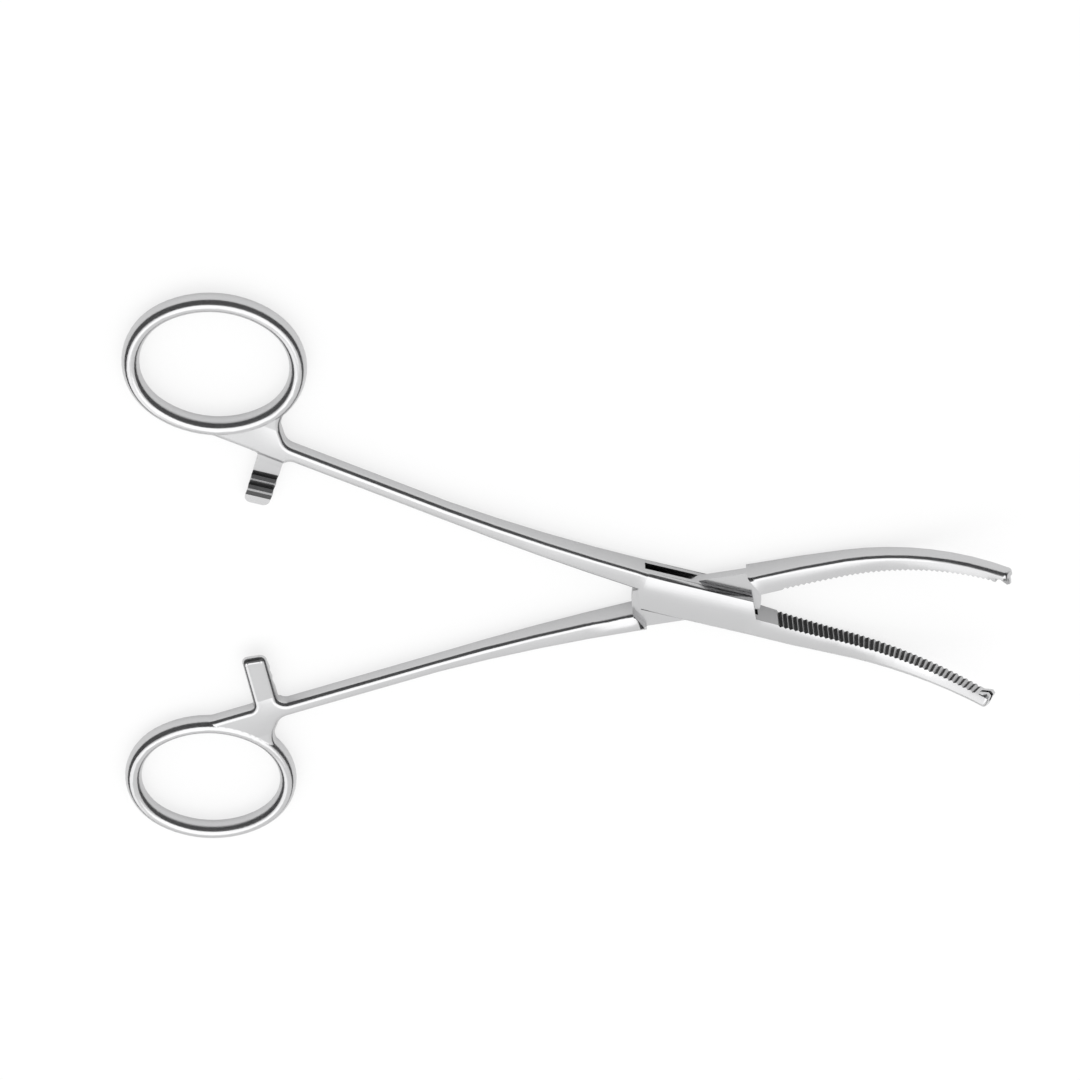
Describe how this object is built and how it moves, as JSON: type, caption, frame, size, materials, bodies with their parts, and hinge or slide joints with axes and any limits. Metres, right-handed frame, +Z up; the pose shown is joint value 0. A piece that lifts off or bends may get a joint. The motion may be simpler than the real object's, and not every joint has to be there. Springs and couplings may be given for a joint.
{
  "type": "hemostatic forceps",
  "caption": "Curved box-lock hemostatic forceps with oval finger rings, ratchet bars, serrated jaws and interlocking tip teeth, shown open.",
  "frame": {"origin": "on the joint's axis, at the underside of the box lock", "axes": "+X along the middle line between the arms, from the finger rings towards the jaws; +Z up, the way the jaws curve; +Y completes a right-handed frame, towards the female arm's ring"},
  "size_m": [0.149, 0.1136, 0.0121],
  "materials": {
    "arm_steel": "bright polished stainless steel",
    "rivet_steel": "bright polished stainless steel, ground flush"
  },
  "bodies": {
    "female_half": {"female_arm": "arm_steel", "joint_rivet": "rivet_steel"},
    "male_half": {"male_arm": "arm_steel"}
  },
  "joints": [
    {"name": "box_lock", "type": "hinge", "parent": "female_half", "child": "male_half", "pos_m": [0, 0, 0], "axis": [0, 0, 1], "range_deg": [-26.9, 63.1]}
  ]
}
